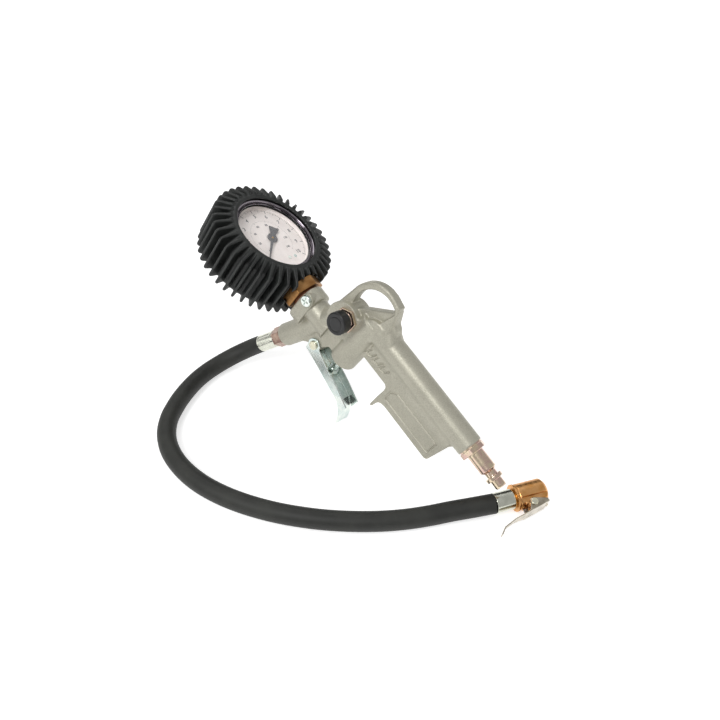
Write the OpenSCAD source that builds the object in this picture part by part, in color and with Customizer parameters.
// Air-line tyre inflating gun: a die-cast grip with a lever valve, a bleed button,
// a dial gauge in a ribbed rubber boot, and a short hose with a clip-on tyre chuck.
// The pieces of the gun are drawn in the grip's own frame: its axis is Z, the trigger
// is on +X and the bleed button on +Y. The pieces of the chuck are drawn with their
// axis on Z and the lever on +X. The modules gun() and chuck() lay them down.

/* [Stance] */
// Lean of the grip back from upright, in degrees
lean = 64; // [63:0.5:66]
// Turn of the trigger side about the grip, in degrees
turn = 198; // [196:0.5:200]

/* [Grip] */
// Length of the grip tube below the valve
grip_len = 100; // [97:0.5:104]
// Diameter of the grip tube
grip_d = 18.5; // [17:0.5:20]
// Bore of the air passage up the grip
air_bore = 6; // [4:0.5:8]
// Thickness of the blade in front of the tube
blade_t = 9; // [7:0.5:11]
// Reach of the blade's front edge from the tube's axis
blade_reach = 36; // [32:0.5:38]
// Height of the finger rest above the foot of the tube
rest_z = 67.5; // [60:0.5:70]
// Length of the finger rest in front of the blade
rest_len = 10.6; // [8:0.2:12]
// Reach of the neck between the finger rest and the valve
neck_reach = 22.7; // [21:0.1:24]
// Depth of the sunk lines on the blade
groove_depth = 0.5; // [0.3:0.1:0.8]
// Width of the sunk lines on the blade
groove_w = 0.8; // [0.5:0.1:1.2]

/* [Hanging loop] */
// Thickness of the loop plate
loop_t = 8; // [6:0.5:10]
// Outer radius of the loop
loop_r = 22.5; // [21.5:0.5:24]
// Radius of the curved side of the loop's hole
loop_hole_r = 19; // [18.5:0.5:19.5]

/* [Valve] */
// Height of the valve's axis above the end of the grip tube
valve_rise = 6; // [5:0.5:8]
// Diameter of the valve boss
valve_boss_d = 21; // [20:0.5:24]
// Reach of the valve boss's end
valve_boss_end = 43.3; // [41:0.1:44]
// Bore of the valve chamber
valve_bore_d = 12; // [11:0.2:13]
// Diameter of the valve spindle
spindle_d = 5; // [4:0.2:5.6]
// Radial running gap of the spindle in its gland
spindle_gap = 0.04; // [0.02:0.01:0.08]
// Gap between the spindle's end and the trigger
trigger_gap = 0.35; // [0.3:0.05:0.8]

/* [Trigger] */
// Reach of the trigger's pivot
pivot_x = 51.5; // [51:0.1:52]
// Height of the trigger's pivot above the valve's axis
pivot_rise = 21.5; // [21:0.1:22]
// Width of the trigger over its sides
trigger_w = 15; // [14.4:0.2:16]
// Thickness of the trigger's sheet
trigger_t = 1; // [0.8:0.1:1.2]
// Diameter of the trigger's pin
pin_d = 4; // [3:0.2:4.4]
// Radial running gap of the trigger on its pin
pin_gap = 0.05; // [0.03:0.01:0.09]
// Thickness of the lug between the trigger's sides
lug_t = 12; // [10:0.2:12.2]

/* [Bleed button] */
// Reach of the bleed button's axis
bleed_x = 10; // [9:0.5:11]
// Height of the bleed button's axis above the valve's axis
bleed_rise = 15; // [14:0.5:16]
// Diameter of the round boss behind the button
round_boss_d = 28; // [26:0.5:29]
// Height of the round boss on each side of the grip's plane
round_boss_h = 9; // [8:0.5:10]
// Diameter of the button
button_d = 16.6; // [15:0.2:17.4]
// Travel of the button
button_travel = 2.5; // [1.5:0.1:2.8]

/* [Hose outlet] */
// Diameter of the hose boss
hose_boss_d = 18; // [16:0.5:19]
// Reach of the hose boss's end
hose_boss_x = 76.3; // [75:0.1:78]
// Height of the hose boss's end above the valve's axis
hose_boss_rise = 47.1; // [46:0.1:48]
// Upward slope of the hose boss, in degrees
hose_slope = 22.3; // [21:0.1:24]
// Outer diameter of the hose
hose_d = 14; // [12:0.5:14]
// Bore of the hose
hose_bore = 7; // [6:0.5:8]
// Length of a ferrule
ferrule_len = 19.4; // [16:0.2:20]
// Width across flats of the hose tail's hexagon
tail_af = 14; // [13.5:0.5:16]
// Thickness of the hose tail's hexagon
tail_hex_t = 8.6; // [7:0.2:10]

/* [Gauge] */
// Reach of the gauge stem's axis
stem_x = 34.4; // [33:0.2:35]
// Height of the gauge's centre above its flange
gauge_rise = 51.2; // [50.8:0.2:53]
// Outer radius of the case
case_r = 31; // [30.6:0.1:31.4]
// Thickness of the bezel round the case
bezel_t = 3; // [2.7:0.1:3.4]
// Wall of the case
case_wall = 1; // [0.8:0.1:1.2]
// Depth of the case behind its centre plane
case_back = 18; // [17.5:0.1:19]
// Distance of the dial in front of the centre plane
dial_front = 6.6; // [6.2:0.1:7]
// Thickness of the glass
glass_t = 1.8; // [1.4:0.1:2.2]
// Width across flats of the brass hexagon
stem_af = 27; // [24:0.5:28]
// Radius to the tips of the boot's ribs
rib_r = 46.3; // [45:0.1:48]
// Height of the boot's ribs
rib_h = 5.1; // [4:0.1:6]
// Number of ribs
rib_count = 40; // [32:4:44]
// Width of a rib
rib_w = 3.1; // [2.4:0.1:3.6]
// Swing of the pointer, in degrees
pointer_swing = 270; // [240:5:270]

/* [Inlet plug] */
// Width across flats of the plug's hexagon
plug_af = 17; // [15:0.5:18]
// Diameter of the plug's shaft and collar
plug_d = 11.9; // [11.5:0.1:12.2]
// Diameter of the plug's nose
nose_d = 7.95; // [7.5:0.05:8.2]
// Length of the plug below the grip
plug_len = 33.4; // [32:0.2:35]
// Length of the nose
nose_len = 6.4; // [5:0.2:7]
// Bore of the plug
plug_bore = 5; // [4:0.5:5.5]

/* [Chuck] */
// Place of the joint between ferrule and chuck, along X
chuck_x = 146; // [144:0.5:148]
// Place of the joint between ferrule and chuck, along Y
chuck_y = 21.5; // [20:0.5:23]
// Turn of the chuck's mouth from the X axis, in degrees
chuck_turn = 65; // [63:0.5:67]
// Roll of the chuck's lever above level, in degrees
chuck_roll = 78; // [76:0.5:80]
// Diameter of the chuck's body
chuck_d = 18; // [17:0.5:18.5]
// Length of the chuck's body
chuck_len = 23; // [21.5:0.5:24]
// Bore of the chuck's mouth
socket_d = 8.2; // [7.8:0.1:8.6]
// Depth of the chuck's mouth
socket_depth = 9; // [8:0.5:10]
// Width of the clip over its cheeks
clip_w = 14.8; // [14:0.2:16]
// Thickness of the clip's sheet
clip_t = 0.8; // [0.6:0.1:1]
// Distance of the clip's rivet from the chuck's axis
rivet_off = 8.2; // [7.8:0.1:8.6]
// Distance of the clip's rivet from the chuck's back
rivet_z = 10.1; // [9.6:0.1:10.6]
// Diameter of the clip's rivet
rivet_d = 2.6; // [2:0.1:3]

/* [Hidden] */
$fn = 64;
eps = 0.01;
fit = 0.1;
grip_r = grip_d/2;
valve_z = grip_len + valve_rise;
valve_boss_r = valve_boss_d/2;
valve_bore_r = valve_bore_d/2;
spindle_r = spindle_d/2;
pivot_z = valve_z + pivot_rise;
pin_r = pin_d/2;
bleed_z = valve_z + bleed_rise;
round_r = round_boss_d/2;
round_x = 14;
round_z = valve_z + 17;
hose_boss_r = hose_boss_d/2;
hose_boss_z = valve_z + hose_boss_rise;
hose_r = hose_d/2;
hose_boss_len = 57;
flange_top = valve_z + 52;
flange_t = 11;
flange_r = 11.5;
screw_seat = 10.4;
gauge_z = flange_top + gauge_rise;
block_z = gauge_z - case_r + 2;
stem_seal_t = 1.6;
thread_r = 6.5;
stem_r = 6;
bleed_seat_y = 2;
nose_r = nose_d/2;
plug_r = plug_d/2;
plug_seal_t = 1;
outlet_x = 24;

// Valve stations along the valve's axis
spring_back = -4.6;
poppet_back = 4.6;
poppet_t = 4;
seal_t = 1.4;
seat_x = poppet_back + poppet_t + seal_t;
seat_len = 6;
gland_x = 31;

// The trigger's face leans forward and is met by the spindle
face_lean = 11;
face_off = 8;
trigger_top = 4;

// The trigger's front face where the height above the pivot is h
function face_x(h) = (face_off - h*sin(face_lean))/cos(face_lean);
lip_x = pivot_x + 32;
lip_z = pivot_z - 53;
plunger_end = pivot_x + face_x(-pivot_rise) - trigger_t/cos(face_lean) - trigger_gap;

// The heights at which the parts of the gauge lie, measured to the front of its centre
bezel_r = case_r + bezel_t;
bezel_front = dial_front + 8;
case_front = dial_front + 3.4;
gasket_t = 0.9;
glass_back = case_front + gasket_t + 0.05;
lip_back = glass_back + glass_t + 0.05;
dial_t = 0.5;
plate_t = 1.5;
front_plate_z = dial_front - dial_t - 3.1;
back_plate_z = front_plate_z - 9;
plate_low = 7.4 - case_r;
gear_off = 14.4;
gear_ratio = 8;
tube_r = case_r - 9;
tube_z = back_plate_z - plate_t - 4.2;
tube_back = tube_z - 4;
boot_back = -case_back - 2.9;
boot_front = bezel_front + 1.9;
base_r = rib_r - rib_h;
screw_spots = [[-19, -3.5], [-19, -9.5]];

// Directions of the grip's own axes after it is laid down
up_x = sin(lean)*cos(turn);
up_y = -sin(lean)*sin(turn);
up_z = cos(lean);

// The lip of the trigger stands on the floor, and the whole lies centred over the origin
tip_h = lip_x*up_x - trigger_w/2*up_y + (lip_z - 0.9)*up_z;
boot_mid = stem_x - boot_back - 1.5;
boot_edge = stem_x - bezel_front + 3.6;
boot_tilt = sqrt(pow(cos(lean)*sin(turn), 2) + pow(sin(lean), 2));
far_x = cos(lean)*cos(turn)*boot_mid - sin(lean)*gauge_z - rib_r*boot_tilt;
near_x = sin(lean)*plug_len + cos(lean)*nose_r;
low_y = sin(turn)*boot_mid + cos(turn)*rib_r;
high_y = sin(turn)*boot_edge - cos(turn)*rib_r;
rest = [-(far_x + near_x)/2, -(low_y + high_y)/2, -tip_h];

// The clip's lever from its front to its tail, as points [along the chuck, off its axis]
clip_path = [[20.4, 10.4], [4.3, 13.9], [-5.4, 15.5], [-14, 18.5], [-18, 22.6]];
chuck_z = clip_w/2*sin(chuck_roll) + clip_path[1].y*cos(chuck_roll) + 0.35;
chuck_r = chuck_d/2;
rivet_r = rivet_d/2;
socket_r = socket_d/2;
chuck_ferrule = 14.5;

// A point of the gun where it comes to lie on the floor
function turned(p) = [p.x*cos(turn) - p.y*sin(turn), p.x*sin(turn) + p.y*cos(turn), p.z];
function leaned(p) = [p.x*cos(lean) - p.z*sin(lean), p.y, p.x*sin(lean) + p.z*cos(lean)];
function laid(p) = rest + leaned(turned(p));

// The hose leaves the gun's ferrule and ends in the chuck's
hose_out = tail_hex_t + 0.02 + ferrule_len;
hose_start = laid([hose_boss_x + hose_out*cos(hose_slope), 0, hose_boss_z + hose_out*sin(hose_slope)]);
chuck_dir = [cos(chuck_turn), sin(chuck_turn), 0];
hose_finish = [chuck_x, chuck_y, chuck_z] - chuck_ferrule*chuck_dir;

// Where the hose runs between them, as points over the floor that it lies on
hose_run = [
    [-85.8, -23.4, 13], [-91.3, -29, 8.3], [-95.6, -36.3, 4.5], [-98.2, -44.8, 1.9],
    [-99.1, -53.8, 0.5], [-98.5, -63, 0], [-96.4, -72.8, 0], [-93.1, -82.2, 0], [-88.9, -91.4, 0],
    [-83.9, -100.1, 0], [-75.2, -112, 0], [-64.1, -121.3, 0], [-50.9, -127.4, 0],
    [-36.5, -130.2, 0], [-21.7, -130.3, 0], [-7.1, -128.1, 0], [7.1, -123.9, 0], [20.8, -118.2, 0],
    [33.9, -111.3, 0], [46.4, -103.5, 0], [58.3, -94.8, 0], [69.7, -85.4, 0], [80.5, -75.2, 0],
    [90.6, -64.5, 0], [100.1, -53.1, 0], [108.7, -41.2, 0.1], [116.6, -28.8, 0.5],
    [124, -16.5, 1.4], [131.3, -5.6, 2.6]];
route = concat([hose_start], [for (p = hose_run) p + [0, 0, hose_r + fit]], [hose_finish]);

// Lays the gun down on its trigger's lip
module gun() {
    translate(rest) rotate([0, -lean, 0]) rotate([0, 0, turn]) children();
}

// Lays the chuck down on the edge of its clip
module chuck() {
    translate([chuck_x, chuck_y, chuck_z]) rotate([0, 0, chuck_turn])
        rotate([0, 90, 0]) rotate([0, 0, -chuck_roll]) children();
}

// Frames on the gun: Z along the valve, the bleed button, the hose boss and the dial's front
module at_valve() { translate([0, 0, valve_z]) rotate([0, 90, 0]) children(); }
module at_bleed() { translate([bleed_x, 0, bleed_z]) rotate([-90, 0, 0]) children(); }
module at_gauge() { translate([stem_x, 0, gauge_z]) rotate([0, -90, 0]) children(); }
module at_screw() { translate([stem_x - 7, 0, flange_top - flange_t/2]) rotate([-90, 0, 0]) children(); }
module at_hose() {
    translate([hose_boss_x, 0, hose_boss_z]) rotate([0, 90 - hose_slope, 0]) children();
}

// An outline drawn in X and Z, given a thickness along Y
module slab(t) { rotate([90, 0, 0]) linear_extrude(t, center = true) children(); }
module ring(ro, ri, h) {
    difference() {
        cylinder(r = ro, h = h);
        translate([0, 0, -1]) cylinder(r = ri, h = h + 2);
    }
}
module hexagon(af, h) { cylinder(d = af/cos(30), h = h, $fn = 6); }

// A round bar with a bevelled far end
module bevelled(r, h, b) {
    cylinder(r = r, h = h - b);
    translate([0, 0, h - b - eps]) cylinder(r1 = r, r2 = r - b, h = b + eps);
}

function arc(c, r, a, b, n = 12) = [for (i = [0:n]) c + r*[cos(a + (b - a)*i/n), sin(a + (b - a)*i/n)]];
function unit(v) = v/norm(v);
function left(v) = [-v.y, v.x];

// The point of a closed outline moved inward by d at corner i
function moved(p, i, d) =
    let (n = len(p), a = left(unit(p[i] - p[(i + n - 1)%n])), b = left(unit(p[(i + 1)%n] - p[i])))
    p[i] + d*(a + b)/(1 + a*b);
function inset(p, d) = [for (i = [0:len(p) - 1]) moved(p, i, d)];

// A plate with its outline in X and Z, and its edges stepped back by about half of r
module eased_plate(p, t, r) {
    slab(t - 1.2*r) polygon(p);
    slab(t) polygon(inset(p, 0.45*r));
}

// A thin band along a path of points, as wide as w
module band(p, w) {
    for (i = [0:len(p) - 2])
        stroke(p[i], p[i + 1], w);
}
module stroke(a, b, w) {
    u = unit(b - a);
    side = left(u)*w/2;
    end = u*w/2;
    polygon([a - end - side, b + end - side, b + end + side, a - end + side]);
}

blade_outline = concat(
    [[0, 6.3], [grip_r - 1.6, 6.3], [grip_r + 2.8, 8.3]],
    arc([blade_reach - 3, 13.6], 3, -83, 0, 4),
    [[blade_reach, rest_z - 9.1], [blade_reach + 0.8, rest_z - 5.8], [blade_reach + 2.3, rest_z - 3.8],
     [blade_reach + 4.8, rest_z - 2.9], [blade_reach + rest_len - 1.3, rest_z - 2.2],
     [blade_reach + rest_len, rest_z - 1], [blade_reach + rest_len - 1.7, rest_z - 0.2],
     [blade_reach, rest_z], [neck_reach + 4.4, rest_z - 0.2], [neck_reach + 1.4, rest_z + 0.5],
     [neck_reach, rest_z + 2.4], [neck_reach, valve_z - 4], [0, valve_z - 4]]);
loop_c = [-7, valve_z + 5];
loop_outline = concat(
    [[-6, valve_z - 22], [14, valve_z + 2], [22, round_z], [round_x + 1, round_z + round_r]],
    arc(loop_c, loop_r, 94, 196, 16),
    [[loop_c.x - 20.3, loop_c.y - 11.9], [loop_c.x - 13.7, loop_c.y - 13],
     [loop_c.x - 9.9, loop_c.y - 16.5], [loop_c.x - 7, loop_c.y - 21]]);
loop_hole = concat(
    arc(loop_c + [0.5, -1.5], loop_hole_r, 66, 202, 16),
    [[loop_c.x - 16.6, loop_c.y - 10.1], [loop_c.x - 15.2, loop_c.y - 10.4],
     [loop_c.x - 13.6, loop_c.y - 9.6], [loop_c.x + 8.4, loop_c.y + 12.4], [loop_c.x + 9.4, loop_c.y + 14.2]]);
web_outline = [
    [round_x, valve_z + 2], [valve_boss_end - 1.5, valve_z + 5], [valve_boss_end - 1, pivot_z - 9],
    [pivot_x - 2.5, pivot_z - 4.9], [pivot_x + 3, pivot_z - 4.6], [pivot_x + 4.4, pivot_z + 2.6],
    [pivot_x + 4.8, pivot_z + 6], [pivot_x + 13, pivot_z + 14], [stem_x, pivot_z + 18], [round_x + 2, round_z + 8]];

// The sunk frame and the three sunk finger marks on each side of the blade
module blade_marks() {
    frame = [[blade_reach - 5.7, 14.7], [blade_reach - 5.7, rest_z - 6.5], [blade_reach - 7.5, rest_z - 4.6],
        [blade_reach - 13, rest_z - 4.6], [blade_reach - 17.4, rest_z - 8.8], [blade_reach - 17.4, 14.7],
        [blade_reach - 5.7, 14.7]];
    band(frame, groove_w);
    for (k = [0:2]) {
        top = [neck_reach - 4.8, valve_z - 10 - 7.5*k];
        band([top + [-5.6, -1.9], top, top + [-1.2, -4.9], top + [-6, -7.2]], groove_w);
    }
}

module gun_casting() color("#b4b4a4") gun() difference() {
    union() {
        cylinder(r = grip_r, h = valve_z - 2);
        translate([0, 0, valve_z - 2]) sphere(r = grip_r);
        eased_plate(blade_outline, blade_t, 0.9);
        difference() {
            eased_plate(loop_outline, loop_t, 1.4);
            slab(loop_t + 2) polygon(loop_hole);
        }
        eased_plate(web_outline, lug_t, 0.6);
        translate([round_x, round_boss_h, round_z]) rotate([90, 0, 0]) bevelled(round_r, 2*round_boss_h, 0.8);
        translate([pivot_x, 0, pivot_z]) rotate([90, 0, 0]) cylinder(r = 5.5, h = lug_t + 0.2, center = true);
        at_valve() translate([0, 0, -3]) bevelled(valve_boss_r, valve_boss_end + 3, 1.2);
        at_hose() translate([0, 0, -hose_boss_len]) bevelled(hose_boss_r, hose_boss_len, 2);
        translate([stem_x, 0, pivot_z]) cylinder(r = 10, h = flange_top - pivot_z - 1);
        flange();
        at_screw() cylinder(r = 5.4, h = screw_seat);
    }
    translate([0, 0, -1]) cylinder(r = thread_r + fit, h = 13);
    cylinder(d = air_bore, h = valve_z);
    at_valve() translate([0, 0, spring_back - 0.4]) cylinder(r = valve_bore_r, h = valve_boss_end + 20);
    translate([outlet_x, 0, valve_z]) cylinder(d = 5, h = hose_boss_rise - 20);
    translate([stem_x, 0, valve_z + 30]) cylinder(d = 6, h = 30);
    translate([stem_x, 0, flange_top - 12]) cylinder(r = thread_r + fit, h = 13);
    at_hose() translate([0, 0, -hose_boss_len + 8]) cylinder(d = 5, h = hose_boss_len);
    at_hose() translate([0, 0, -12]) cylinder(r = thread_r + fit, h = 13);
    at_bleed() translate([0, 0, bleed_seat_y]) cylinder(r = 5.2 + fit, h = 12);
    at_bleed() translate([0, 0, -6]) cylinder(r = 4.4, h = 10);
    translate([bleed_x, -3, bleed_z]) rotate([0, 90, 0]) cylinder(d = 3, h = outlet_x - bleed_x);
    translate([pivot_x, 0, pivot_z]) rotate([90, 0, 0]) cylinder(r = pin_r + pin_gap, h = 40, center = true);
    at_screw() translate([0, 0, 3]) cylinder(r = 2.2 + fit, h = 12);
    at_screw() translate([0, 0, screw_seat]) cylinder(r = 4.6, h = 6);
    for (s = [-1, 1])
        translate([0, s*(blade_t/2 + 1 - groove_depth), 0]) slab(2) blade_marks();
}

// The flat flange that the gauge stands on, longer to the front and back than across
module flange() {
    outline = concat(arc([stem_x + 8.6, 0], flange_r, -90, 90), arc([stem_x - 1.9, 0], flange_r, 90, 270));
    translate([0, 0, flange_top - flange_t/2]) rotate([90, 0, 0]) eased_plate(outline, flange_t, 1);
}

module inlet_plug() color("#cdb9a0") gun() difference() {
    neck = plug_len - nose_len - 2.5;
    union() {
        translate([0, 0, -plug_seal_t]) cylinder(r = thread_r, h = 11 + plug_seal_t);
        translate([0, 0, -5]) hexagon(plug_af, 5 - plug_seal_t);
        translate([0, 0, -19.2]) cylinder(r = plug_r, h = 15);
        translate([0, 0, -20.7]) cylinder(r1 = nose_r + 0.2, r2 = plug_r, h = 1.5 + eps);
        translate([0, 0, -plug_len + 1]) cylinder(r = nose_r, h = plug_len - 10);
        translate([0, 0, -plug_len + nose_len]) cylinder(r = plug_r, h = plug_len - nose_len - neck + 0.2);
        translate([0, 0, -plug_len]) cylinder(r1 = nose_r - 0.6, r2 = nose_r, h = 1 + eps);
    }
    translate([0, 0, -plug_len - 1]) cylinder(d = plug_bore, h = plug_len + 14);
}

module inlet_seal() color("#1c1c1c") gun() translate([0, 0, -plug_seal_t])
    ring(grip_r - 0.8, thread_r + fit, plug_seal_t);

module valve_seat() color("#c9a45c") gun() at_valve() translate([0, 0, seat_x]) difference() {
    ring(valve_bore_r - 0.05, 4, seat_len);
    translate([0, 0, 2]) ring(valve_bore_r + 1, 4.9, 2);
}

module valve_seat_ring() color("#1c1c1c") gun() at_valve() translate([0, 0, seat_x + 2.05])
    ring(valve_bore_r - 0.05, 4.95, 1.9);

module valve_spring() color("#b8b8b8") gun() at_valve() translate([0, 0, spring_back])
    coil(4.2, 0.45, 5, poppet_back - spring_back);

// A coil spring of wire radius w and so many turns, standing h high, swept as one tube
module coil(r, w, turns, h) {
    sides = 6;
    per_turn = 10;
    n = turns*per_turn;
    rise = (h - 2*w)/n;
    points = [for (i = [0:n]) for (k = [0:sides - 1])
        let (a = 360*i/per_turn, b = 360*k/sides, q = r + w*cos(b))
        [q*cos(a), q*sin(a), w + i*rise + w*sin(b)]];
    tube_skin(points, n, sides);
}

// The skin of a tube whose rings, n + 1 of them, follow each other in points
module tube_skin(points, n, sides) {
    walls = [for (i = [0:n - 1]) for (k = [0:sides - 1])
        let (a = i*sides + k, b = i*sides + (k + 1)%sides) each [[a, a + sides, b], [b, a + sides, b + sides]]];
    last = n*sides;
    polyhedron(points, concat(walls, [[for (k = [0:sides - 1]) k]],
        [[for (k = [0:sides - 1]) last + sides - 1 - k]]), convexity = 10);
}

module valve_gland() color("#c9a45c") gun() at_valve() difference() {
    translate([0, 0, gland_x]) cylinder(r = valve_bore_r - 0.05, h = valve_boss_end - gland_x - 0.4);
    translate([0, 0, gland_x - 1]) cylinder(r = spindle_r + spindle_gap, h = 30);
    translate([0, 0, gland_x + 4]) ring(spindle_r + 1.7, spindle_r - 1, 2.4);
}

module gland_ring() color("#1c1c1c") gun() at_valve() translate([0, 0, gland_x + 4.1])
    ring(spindle_r + 1.65, spindle_r + spindle_gap, 2.2);

module valve_spindle() color("#c8c8c4") gun() at_valve() {
    translate([0, 0, poppet_back]) cylinder(r = 5.2, h = poppet_t);
    translate([0, 0, poppet_back]) cylinder(r = spindle_r, h = plunger_end - poppet_back - 1);
    translate([0, 0, plunger_end - 1 - eps]) cylinder(r1 = spindle_r, r2 = spindle_r - 0.8, h = 1 + eps);
    translate([0, 0, valve_boss_end + 12.2]) hexagon(7, 3);
}

module poppet_seal() color("#1c1c1c") gun() at_valve() translate([0, 0, poppet_back + poppet_t])
    ring(5.2, spindle_r, seal_t - 0.05);

// The trigger's side, from the eye at the pivot to the curled tip
module trigger_side() {
    translate([pivot_x, pivot_z]) difference() {
        union() {
            circle(r = 5.5);
            polygon(concat(
                [[0, 5.4], [-1, -5.3], [2.2, -14.8], [4.4, -21.8], [5.5, -27.7], [7.6, -35.7],
                 [9.9, -42.7], [11.6, -47.6], [12.6, -51.2]],
                [[21, -50.5], [17.2, -44.6], [15.2, -40.2]],
                [for (h = [-36.7, -15.6, -5, trigger_top]) [face_x(h) - trigger_t/2, h]]));
        }
        circle(r = pin_r + pin_gap);
    }
}

// The trigger's front, a sheet that follows the sides' front edge and turns up at the tip
module trigger_front() {
    path = [[face_x(trigger_top), trigger_top], [face_x(-36.7), -36.7], [16.9, -42.6], [21, -47.8],
        [26.2, -51.2], [lip_x - pivot_x, lip_z - pivot_z]];
    n = len(path);
    back = [for (i = [0:n - 1])
        let (u = unit(path[min(i + 1, n - 1)] - path[max(i - 1, 0)])) path[i] - trigger_t*left(u)];
    translate([pivot_x, pivot_z]) polygon(concat(path, [for (i = [0:n - 1]) back[n - 1 - i]]));
}

module trigger_lever() color("#d2d4cc") gun() {
    for (s = [-1, 1])
        translate([0, s*(trigger_w - trigger_t)/2, 0]) slab(trigger_t) trigger_side();
    slab(trigger_w) trigger_front();
}

module trigger_pin() color("#d8d6be") gun() translate([pivot_x, 0, pivot_z]) rotate([-90, 0, 0]) {
    cylinder(r = pin_r, h = trigger_w + 1, center = true);
    for (s = [0, 1])
        mirror([0, 0, s]) translate([0, 0, trigger_w/2 + 0.1]) bevelled(3.5, 1.4, 0.4);
}

module bleed_collar() color("#c9b58a") gun() at_bleed() difference() {
    union() {
        translate([0, 0, bleed_seat_y]) cylinder(r = 5.2, h = round_boss_h - bleed_seat_y + 1);
        translate([0, 0, round_boss_h]) hexagon(16, 2.3);
        translate([0, 0, round_boss_h]) cylinder(r = 6.2, h = 4.3);
    }
    translate([0, 0, -1]) cylinder(r = 1.9 + 0.05, h = 40);
    translate([0, 0, bleed_seat_y - 1]) cylinder(r = 3.2, h = 4);
}

collar_top = round_boss_h + 4.3;
cap_base = collar_top + 0.8;
cap_roof = collar_top + button_travel + 2.9;
cap_top = cap_roof + 2.8;

module bleed_spring() color("#b8b8b8") gun() at_bleed() translate([0, 0, collar_top + 0.02])
    coil(4.2, 0.4, 3, cap_roof - collar_top - 0.04);

module bleed_button() color("#232323") gun() at_bleed() difference() {
    translate([0, 0, cap_base]) bevelled(button_d/2, cap_top - cap_base, 0.6);
    translate([0, 0, cap_base - 1]) cylinder(r = 7, h = cap_roof - cap_base + 1);
    translate([0, 0, cap_top - 0.4]) ring(5.6, 4.9, 2);
    translate([0, 0, cap_roof - 1]) cylinder(r = 1.9, h = 2.4);
}

module bleed_stem() color("#c9a45c") gun() at_bleed() {
    translate([0, 0, -1]) cylinder(r = 1.9, h = cap_roof + 2.4);
    translate([0, 0, -1.8]) cylinder(r = 3.6, h = 1.8);
}

module bleed_seal() color("#1c1c1c") gun() at_bleed() ring(3.9, 1.9, bleed_seat_y - 0.05);

module gauge_screw() color("#dcdcd6") gun() at_screw() difference() {
    union() {
        translate([0, 0, 4.8]) cylinder(r = 2.2, h = screw_seat - 4);
        translate([0, 0, screw_seat]) bevelled(4.5, 2.2, 0.6);
    }
    for (a = [20, 110])
        rotate([0, 0, a]) translate([-3, -0.5, screw_seat + 1.3]) cube([6, 1, 2]);
}

module gauge_socket() color("#b9803c") gun() translate([stem_x, 0, 0]) {
    difference() {
        union() {
            translate([0, 0, flange_top - 11.5]) cylinder(r = thread_r, h = 14);
            translate([0, 0, flange_top + stem_seal_t]) hexagon(stem_af, gauge_rise - base_r - stem_seal_t - 0.1);
            translate([0, 0, flange_top + stem_seal_t]) cylinder(r = stem_r, h = block_z + 1 - flange_top - stem_seal_t);
        }
        translate([0, 0, flange_top - 12]) cylinder(d = 3, h = 26);
    }
    translate([-stem_r, -6, block_z]) cube([stem_r - tube_back, 12, 5]);
    translate([plate_t - back_plate_z, -6, block_z]) cube([back_plate_z - plate_t - tube_back, 12, 9.6]);
}

module gauge_stem_seal() color("#8a5a2c") gun() translate([stem_x, 0, flange_top])
    ring(10, thread_r + fit, stem_seal_t);

module gauge_case() color("#3a3a3a") gun() at_gauge() difference() {
    translate([0, 0, -case_back]) cylinder(r = case_r, h = case_front + case_back);
    translate([0, 0, -case_back + case_wall]) cylinder(r = case_r - case_wall, h = 60);
    rotate([0, -90, 0]) cylinder(r = stem_r + fit, h = case_r + 5);
}

// The boot is a plain wall round the case and the bezel, with ribs that turn over its front
module gauge_boot() color("#1e1f1e") gun() at_gauge() {
    stem_hole = stem_af/2/cos(30) + 0.6;
    difference() {
        union() {
            rotate_extrude($fn = 160) polygon([
                [case_r - 5, boot_back], [base_r - 1.5, boot_back], [base_r, boot_back + 1.5],
                [base_r, bezel_front - 6.2], [bezel_r + 1.9, boot_front - 0.5], [bezel_r + 1.4, boot_front],
                [bezel_r + 0.2, boot_front], [bezel_r + 0.2, 5.9], [case_r + 0.1, 5.9],
                [case_r + 0.1, -case_back - 0.1], [case_r - 5, -case_back - 0.1]]);
            difference() {
                for (i = [0:rib_count - 1])
                    rotate([0, 0, 360*i/rib_count]) {
                        rib(rib_w, 0.9);
                        rib(rib_w - 1.4, 0);
                    }
                rotate([0, -90, 0]) translate([0, 0, base_r - 0.2]) cylinder(r = stem_hole, h = rib_h + 5);
            }
        }
        rotate([0, -90, 0]) cylinder(r = stem_r + 0.3, h = rib_r + 5);
    }
}

// One rib of the boot, as wide as w and lower than full height by cut
module rib(w, cut) {
    rotate([90, 0, 0]) linear_extrude(w, center = true) polygon([
        [base_r - 1, boot_back], [rib_r - 1.5 - cut, boot_back], [rib_r - cut, boot_back + 1.5 + cut],
        [rib_r - cut, bezel_front - 3.6 - cut], [rib_r - 1.7 - cut, bezel_front - 1.9 - cut],
        [bezel_r + 3 - cut, boot_front + 0.6 - cut], [bezel_r + 1.8, boot_front - 0.4],
        [base_r - 1, bezel_front - 7.2]]);
}

module gauge_bezel() color("#54545a") gun() at_gauge() rotate_extrude($fn = 160) polygon([
    [bezel_r, 6], [bezel_r, bezel_front - 1.2], [bezel_r - 0.9, bezel_front], [bezel_r - 1.9, bezel_front],
    [case_r - 0.2, lip_back + 0.6], [case_r - 1.5, lip_back + 0.4], [case_r - 1.5, lip_back],
    [case_r + 0.5, lip_back], [case_r + 0.5, case_front + 0.02], [case_r + 0.05, case_front + 0.02],
    [case_r + 0.05, 6]]);

module gauge_glass() color("#dfe8e6", 0.3) gun() at_gauge() translate([0, 0, glass_back])
    cylinder(r = case_r - 0.1, h = glass_t);

module glass_gasket() color("#2a2a2a") gun() at_gauge() translate([0, 0, case_front + 0.02])
    ring(case_r - 0.1, case_r - 2, gasket_t);

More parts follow.
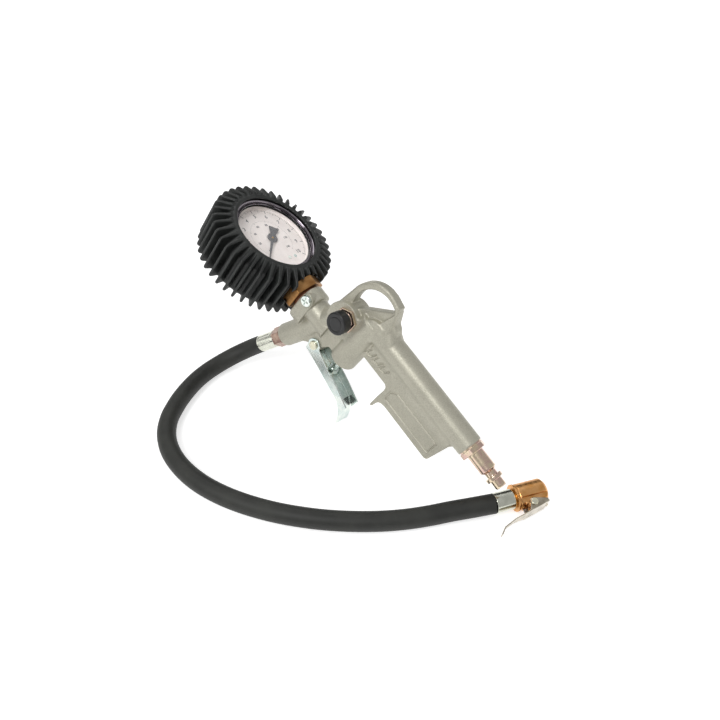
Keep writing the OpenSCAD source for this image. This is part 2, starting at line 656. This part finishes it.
module dial_plate() color("#d8d8d4") gun() at_gauge() difference() {
    translate([0, 0, dial_front - dial_t]) ring(case_r - case_wall - 0.4, 1.6, dial_t);
    for (p = screw_spots)
        translate([p.x, p.y, 0]) cylinder(r = 0.65, h = dial_front + 1);
}

// Two small screws hold the dial to posts on the movement's front plate
module dial_screws() color("#9a9a96") gun() at_gauge()
    for (p = screw_spots)
        translate([p.x, p.y, 0]) {
            translate([0, 0, front_plate_z + 2]) cylinder(r = 0.6, h = dial_front - front_plate_z - 1.8);
            translate([0, 0, dial_front]) cylinder(r = 1.3, h = 0.4);
        }

// The pointer at rest is 135 degrees from the top, and sweeps over the top
module at_rest_mark() rotate([0, 0, pointer_swing/2]) children();

module gauge_pointer() color("#4a4a4c") gun() at_gauge() at_rest_mark() difference() {
    translate([0, 0, dial_front + 0.9]) {
        cylinder(r = 4.2, h = 0.6);
        linear_extrude(0.6) polygon([[3, -1.1], [23.5, -0.25], [23.5, 0.25], [3, 1.1]]);
        linear_extrude(0.6) polygon(concat([[-3, -1.6], [-3, 1.6]], [for (a = [-20:8:20]) [-12*cos(a), -12*sin(a)]]));
    }
    cylinder(r = 0.8, h = 30);
}

module pointer_arbor() color("#c9a45c") gun() at_gauge() {
    translate([0, 0, back_plate_z - plate_t + 0.2]) cylinder(r = 0.8, h = dial_front + 1.5 - back_plate_z + plate_t);
    translate([0, 0, back_plate_z + 3]) cylinder(r = gear_off/(gear_ratio + 1) - 0.15, h = 3.4);
}

module front_plate() color("#c9a45c") gun() at_gauge() difference() {
    union() {
        translate([plate_low, -13, front_plate_z]) cube([7 - plate_low, 26, plate_t]);
        for (p = screw_spots)
            translate([p.x, p.y, front_plate_z]) cylinder(r = 2, h = dial_front - dial_t - front_plate_z);
    }
    plate_bores();
    for (p = screw_spots)
        translate([p.x, p.y, front_plate_z + 1.9]) cylinder(r = 0.62, h = 9);
}

module back_plate() color("#c9a45c") gun() at_gauge() difference() {
    translate([plate_low, -13, back_plate_z - plate_t]) cube([7 - plate_low, 26, plate_t]);
    plate_bores();
}

module plate_bores() {
    translate([0, 0, -20]) cylinder(r = 0.85, h = 40);
    translate([-gear_off, 0, -20]) cylinder(r = 0.85, h = 40);
}

module plate_pillars() color("#c9a45c") gun() at_gauge()
    for (y = [-10.5, 10.5])
        translate([4.5, y, back_plate_z]) cylinder(r = 1.6, h = front_plate_z - back_plate_z);

module sector_gear() color("#c9a45c") gun() at_gauge() translate([-gear_off, 0, 0]) {
    translate([0, 0, back_plate_z - plate_t + 0.2]) cylinder(r = 0.8, h = front_plate_z - back_plate_z + 2.6);
    reach = gear_off*gear_ratio/(gear_ratio + 1) - 0.25;
    half = pointer_swing/gear_ratio/2;
    translate([0, 0, back_plate_z + 4]) linear_extrude(1.4) rotate([0, 0, -half])
        polygon(concat([[-1.6, -1.6], [-1.6, 1.6]], [for (a = [24:-4:-24]) reach*[cos(a), sin(a)]]));
}

module bourdon_tube() color("#b9803c") gun() at_gauge() translate([0, 0, tube_z]) {
    rotate([0, 0, -163]) rotate_extrude(angle = 250, $fn = 96) translate([tube_r, 0]) square([2, 8], center = true);
    translate([-tube_r - 1.5, -8, -4.2]) cube([4, 2, 8.4]);
}

module tube_tip_link() color("#c9a45c") gun() at_gauge() rotate([0, 0, 85])
    translate([tube_r - 6, -0.6, tube_z - 1]) cube([4.99, 1.2, 6]);

module hairspring() color("#b8b8b8") gun() at_gauge() translate([0, 0, front_plate_z - 1.2])
    ring(3.6, 3.3, 1.2);

module hose_tail_upper() color("#cdb9a0") gun() at_hose() hose_tail(tail_hex_t, 11);

// A hose tail: a thread going back, a hexagon and a barbed spout going forward
module hose_tail(hex_t, thread) {
    difference() {
        union() {
            translate([0, 0, -thread]) cylinder(r = thread_r, h = thread + 1);
            hexagon(tail_af, hex_t);
            translate([0, 0, hex_t - 1]) cylinder(r = hose_bore/2 - 0.3, h = ferrule_len - 1);
            for (k = [0:3])
                translate([0, 0, hex_t + 4 + 3*k]) cylinder(r1 = hose_bore/2, r2 = hose_bore/2 - 0.3, h = 2);
        }
        translate([0, 0, -thread - 1]) cylinder(d = 4, h = thread + hex_t + ferrule_len + 2);
    }
}

module hose_ferrule_upper() color("#c9cac6") gun() at_hose() translate([0, 0, tail_hex_t + 0.02])
    difference() {
        bevelled(hose_r, ferrule_len, 0.5);
        translate([0, 0, -1]) cylinder(r = hose_bore/2 + 0.05, h = ferrule_len + 2);
        for (a = [0:45:315])
            rotate([0, 0, a]) translate([hose_r + 0.9, 0, 3.4]) cylinder(r = 1.4, h = ferrule_len - 5);
    }

// The hose: rings of points across a smooth curve through the route
function bend(p, q, r, s, t) = 0.5*((2*q) + (r - p)*t + (2*p - 5*q + 4*r - s)*t*t + (3*q - p - 3*r + s)*t*t*t);
function at(i) = route[max(0, min(i, len(route) - 1))];
function along(u) = let (i = min(floor(u), len(route) - 2)) bend(at(i - 1), at(i), at(i + 1), at(i + 2), u - i);
function heading(u) = unit(along(min(u + 0.05, len(route) - 1)) - along(max(u - 0.05, 0)));

module hose() color("#23241f") {
    sides = 12;
    n = len(route) - 1;
    gun_end = unit(hose_start - laid([hose_boss_x, 0, hose_boss_z]));
    points = [for (i = [0:n])
        let (f = i == 0 ? gun_end : i == n ? chuck_dir : heading(i), s = unit(cross([0, 0, 1], f)), v = cross(f, s))
        for (k = [0:sides - 1]) along(i) + hose_r*(cos(360*k/sides)*s + sin(360*k/sides)*v)];
    tube_skin(points, n, sides);
}

module hose_ferrule_lower() color("#c9cac6") chuck() translate([0, 0, -chuck_ferrule]) difference() {
    bevelled(hose_r, chuck_ferrule - 0.6, 0.4);
    translate([0, 0, -1]) cylinder(r = hose_bore/2 + 0.05, h = chuck_ferrule + 2);
}

module hose_tail_lower() color("#c9a45c") chuck() difference() {
    union() {
        translate([0, 0, -0.55]) cylinder(r = hose_r - 0.4, h = 0.5);
        translate([0, 0, -0.5]) cylinder(r = 5, h = 6);
        translate([0, 0, -chuck_ferrule + 0.5]) cylinder(r = hose_bore/2 - 0.1, h = chuck_ferrule);
    }
    translate([0, 0, -chuck_ferrule - 1]) cylinder(d = 3, h = chuck_ferrule + 8);
}

module chuck_body() color("#c58a3c") chuck() {
    mouth = chuck_len - socket_depth;
    lug = chuck_r + 2.5;
    cheek = clip_w/2 - clip_t - 0.35;
    difference() {
        union() {
            ring(chuck_r + 0.4, 5 + fit, 1.4);
            cylinder(r = chuck_r - 0.5, h = 2.6);
            translate([0, 0, 2.2]) cylinder(r = chuck_r, h = chuck_len - 4.4);
            translate([0, 0, chuck_len - 2.2 - eps]) cylinder(r1 = chuck_r, r2 = chuck_r - 1.1, h = 1.3);
            translate([0, 0, chuck_len - 1]) cylinder(r1 = chuck_r - 1.1, r2 = chuck_r - 2.2, h = 1);
            translate([3, -cheek, 5]) cube([rivet_off - 3, 2*cheek, 2*(rivet_z - 5)]);
            translate([rivet_off, -cheek, rivet_z]) rotate([-90, 0, 0]) cylinder(r = lug - rivet_off, h = 2*cheek);
        }
        translate([0, 0, -1]) cylinder(r = 5 + fit, h = 7.2);
        cylinder(d = 4.4, h = chuck_len);
        translate([0, 0, mouth - 2.2]) cylinder(r = socket_r + 0.9, h = 2.2 + eps);
        translate([0, 0, mouth]) cylinder(r = socket_r, h = socket_depth + 1);
        for (s = [-1, 1])
            translate([3.4, s*(cheek + 5) - 5, 2.8]) cube([12, 10, chuck_len]);
        translate([socket_r - 1, -2, chuck_len - 5]) cube([12, 4, 3.6]);
        translate([rivet_off, 0, rivet_z]) rotate([90, 0, 0]) cylinder(r = rivet_r + 0.05, h = 40, center = true);
    }
}

module chuck_seal() color("#1c1c1c") chuck() translate([0, 0, chuck_len - socket_depth - 2.15])
    ring(socket_r + 0.85, 1.9, 2.1);

module chuck_depressor() color("#c9a45c") chuck() {
    mouth = chuck_len - socket_depth;
    translate([0, 0, 5.7]) cylinder(r = 1.1, h = mouth - 5.8);
    translate([0, 0, 5.6]) difference() {
        cylinder(r = 2.2, h = 2);
        for (a = [0:120:240])
            rotate([0, 0, a]) translate([1.7, 0, -1]) cylinder(r = 0.45, h = 4, $fn = 16);
    }
}

// The clip's cheek: it holds the rivet and runs from the chuck's mouth to the lever's bend
module cheek_outline() {
    p = clip_path;
    difference() {
        union() {
            polygon([[rivet_z - 2.6, rivet_off - 0.9], [rivet_z - 1, rivet_off - 2.6], [rivet_z + 1.2, rivet_off - 2.9],
                [p[0].x, p[0].y - 2.4], [p[0].x, p[0].y], [p[1].x, p[1].y], [p[1].x + 1.6, p[1].y - 2.6]]);
            translate([rivet_z, rivet_off]) circle(r = 3);
        }
        translate([rivet_z, rivet_off]) circle(r = rivet_r + 0.05);
    }
}

module chuck_clip() color("#b9b2a4") chuck() {
    p = clip_path;
    for (s = [-1, 1])
        translate([0, s*(clip_w - clip_t)/2, 0]) lever_slab(clip_t) cheek_outline();
    lever_slab(clip_w) clip_web(p[0], p[1]);
    difference() {
        lever_slab(clip_w) union() {
            clip_web(p[1], p[2]);
            clip_web(p[2], p[3]);
            clip_web(p[3], p[4]);
        }
        for (s = [-1, 1])
            lever_taper(s);
    }
    lever_slab(3.4) {
        clip_web([p[0].x - 0.2, p[0].y + 0.2], [p[0].x - 0.4, socket_r + 0.6]);
        clip_web(p[0], [p[0].x - 1, p[0].y + 0.3]);
    }
}

// An outline drawn as [along the chuck, off its axis], given a thickness across
module lever_slab(t) { rotate([0, -90, -90]) linear_extrude(t, center = true) children(); }

// One straight run of the clip's sheet, with round ends, its outer face on the path
module clip_web(a, b) {
    m = left(unit(b - a))*clip_t/2;
    for (p = [a + m, b + m])
        translate(p) circle(d = clip_t, $fn = 24);
    stroke(a + m, b + m, clip_t);
}

// What is cut from the lever's side, so that it has a shoulder behind its bend and narrows to its tail
module lever_taper(s) {
    tail = clip_path[4].x - 2;
    start = clip_path[1].x - 0.6;
    translate([40, 0, 0]) rotate([0, -90, 0]) linear_extrude(60)
        polygon([[start, s*(clip_w/2 + 0.05)], [start - 2, s*(clip_w/2 - 2.1)], [tail, s*1.6], [tail, s*12],
            [start, s*12]]);
}

module clip_rivet() color("#c6c6bc") chuck() translate([rivet_off, 0, rivet_z]) rotate([-90, 0, 0]) {
    cylinder(r = rivet_r, h = clip_w + 1, center = true);
    for (s = [0, 1])
        mirror([0, 0, s]) translate([0, 0, clip_w/2 + 0.1]) bevelled(2.5, 1, 0.3);
}

module clip_spring() color("#b8b8b8") chuck() translate([chuck_r + 0.02, 0, 5])
    rotate([0, 90, 0]) coil(1.6, 0.3, 3, 3.1);

gun_casting();
inlet_plug();
inlet_seal();
valve_seat();
valve_seat_ring();
valve_spring();
valve_gland();
gland_ring();
valve_spindle();
poppet_seal();
trigger_lever();
trigger_pin();
bleed_collar();
bleed_spring();
bleed_button();
bleed_stem();
bleed_seal();
gauge_screw();
gauge_socket();
gauge_stem_seal();
gauge_case();
gauge_boot();
gauge_bezel();
gauge_glass();
glass_gasket();
dial_plate();
dial_screws();
gauge_pointer();
pointer_arbor();
front_plate();
back_plate();
plate_pillars();
sector_gear();
bourdon_tube();
tube_tip_link();
hairspring();
hose_tail_upper();
hose_ferrule_upper();
hose();
hose_ferrule_lower();
hose_tail_lower();
chuck_body();
chuck_seal();
chuck_depressor();
chuck_clip();
clip_rivet();
clip_spring();
